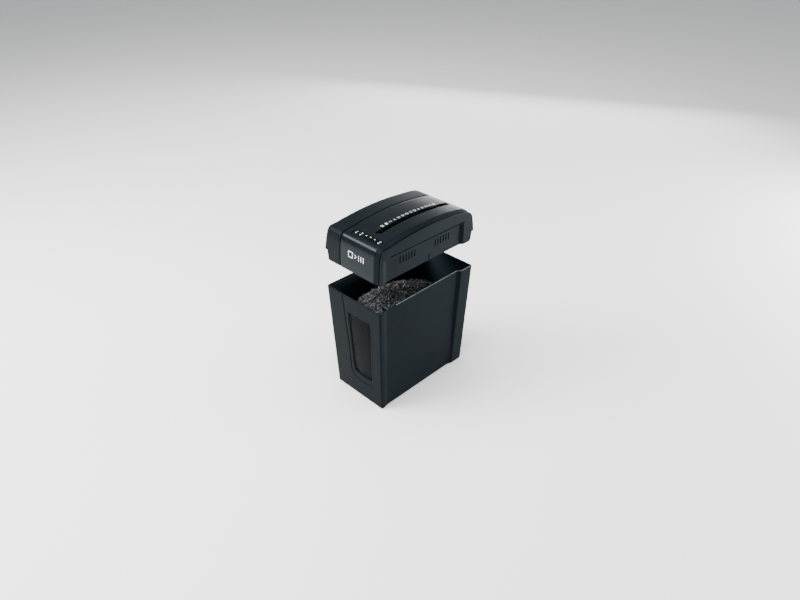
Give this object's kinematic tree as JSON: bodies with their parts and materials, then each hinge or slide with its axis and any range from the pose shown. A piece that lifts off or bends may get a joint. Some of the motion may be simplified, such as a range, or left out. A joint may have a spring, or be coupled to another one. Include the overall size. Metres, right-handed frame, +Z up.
{
  "type": "paper shredder",
  "caption": "Desk-side paper shredder with a tapering waste bin, smoked window and a lift-off cutting head with geared rollers.",
  "frame": {"origin": "middle of the bin's underside, on the floor plane", "axes": "+Z up; the narrow end with the window faces -Y; the vented long side faces +X"},
  "size_m": [0.192, 0.335, 0.4859],
  "materials": {
    "bin_plastic": "fine-textured charcoal plastic",
    "dark_plastic": "satin charcoal plastic",
    "top_plastic": "satin lighter grey-black plastic",
    "inner_plastic": "plain black plastic",
    "smoked_pane": "smoked clear plastic",
    "paper": "loose cross-cut paper bits",
    "steel": "zinc-plated steel",
    "hard_steel": "hardened oiled steel",
    "bronze": "sintered bronze",
    "nylon": "natural nylon",
    "board": "green circuit board",
    "rubber": "black rubber",
    "signal": "clear indicator plastic"
  },
  "bodies": {
    "bin": {"bin_body": "bin_plastic", "window_bezel": "dark_plastic", "window_pane": "smoked_pane", "paper_shreds": "paper", "rubber_foot_1": "rubber", "rubber_foot_2": "rubber", "rubber_foot_3": "rubber", "rubber_foot_4": "rubber"},
    "head": {"left_cover": "dark_plastic", "shoulder_trim": "dark_plastic", "right_cover": "dark_plastic", "control_strip": "dark_plastic", "top_cover": "top_plastic", "lower_housing": "inner_plastic", "throat_guide": "inner_plastic", "gear_cover": "inner_plastic", "motor_cradle": "inner_plastic", "power_relay": "inner_plastic", "sensor_switch": "inner_plastic", "safety_switch": "inner_plastic", "mode_switch": "inner_plastic", "front_side_plate": "steel", "rear_side_plate": "steel", "tie_rod_1": "steel", "tie_rod_2": "steel", "tie_rod_3": "steel", "tie_rod_4": "steel", "first_axle": "steel", "second_axle": "steel", "motor_can": "steel", "cover_screw_1": "hard_steel", "cover_screw_2": "hard_steel", "cover_screw_3": "hard_steel", "cover_screw_4": "hard_steel", "front_bush_a": "bronze", "front_bush_b": "bronze", "rear_bush_a": "bronze", "rear_bush_b": "bronze", "thermal_cutout": "bronze", "stripper_comb_a": "nylon", "stripper_comb_b": "nylon", "main_board": "board", "control_board": "board", "cord_gland": "rubber", "indicator_lens_1": "signal", "indicator_lens_2": "signal", "indicator_lens_3": "signal", "motor_capacitor": "signal"},
    "roller_a": {"cutter_roller_a": "hard_steel", "drive_gear": "nylon", "roller_gear_a": "steel"},
    "roller_b": {"cutter_roller_b": "hard_steel", "roller_gear_b": "steel"},
    "first_gear": {"first_gear": "nylon"},
    "second_gear": {"second_gear": "nylon"},
    "rotor": {"motor_rotor": "hard_steel", "cooling_fan": "nylon"},
    "mode_knob": {"mode_slider": "inner_plastic"},
    "plunger": {"safety_plunger": "nylon"},
    "lever": {"paper_lever": "nylon"}
  },
  "joints": [
    {"name": "head_lift", "type": "slide", "parent": "bin", "child": "head", "axis": [0, 0, 1], "range_m": [-0.0777, 0.0223]},
    {"name": "roller_a_spin", "type": "hinge", "parent": "head", "child": "roller_a", "pos_m": [0.0178, 0, 0.431], "axis": [0, 1, 0], "continuous": true},
    {"name": "roller_b_spin", "type": "hinge", "parent": "head", "child": "roller_b", "pos_m": [0.0462, 0, 0.431], "axis": [0, 1, 0], "continuous": true},
    {"name": "second_gear_spin", "type": "hinge", "parent": "head", "child": "second_gear", "pos_m": [-0.01039, 0.14, 0.42074], "axis": [0, 1, 0], "continuous": true},
    {"name": "first_gear_spin", "type": "hinge", "parent": "head", "child": "first_gear", "pos_m": [-0.03027, 0.14, 0.43445], "axis": [0, 1, 0], "continuous": true},
    {"name": "rotor_spin", "type": "hinge", "parent": "head", "child": "rotor", "pos_m": [-0.052, 0.08, 0.431], "axis": [0, 1, 0], "continuous": true},
    {"name": "mode_slide", "type": "slide", "parent": "head", "child": "mode_knob", "axis": [1, 0, 0], "range_m": [-0.007, 0.007]},
    {"name": "safety_push", "type": "slide", "parent": "head", "child": "plunger", "axis": [0, 0, 1], "range_m": [0, 0.003], "stiffness_N_per_m": 200, "springref_m": -0.003},
    {"name": "paper_lever_swing", "type": "hinge", "parent": "head", "child": "lever", "pos_m": [0.021, 0.009, 0.462], "axis": [0, 1, 0], "range_deg": [0, 35], "stiffness_Nm_per_rad": 0.002, "springref_deg": -11.46}
  ],
  "couplings": [
    {"joint": "roller_b_spin", "follows": "roller_a_spin", "ratio": -1},
    {"joint": "second_gear_spin", "follows": "roller_a_spin", "ratio": -2.3333},
    {"joint": "first_gear_spin", "follows": "roller_a_spin", "ratio": 5.8333},
    {"joint": "rotor_spin", "follows": "roller_a_spin", "ratio": -19.833}
  ]
}
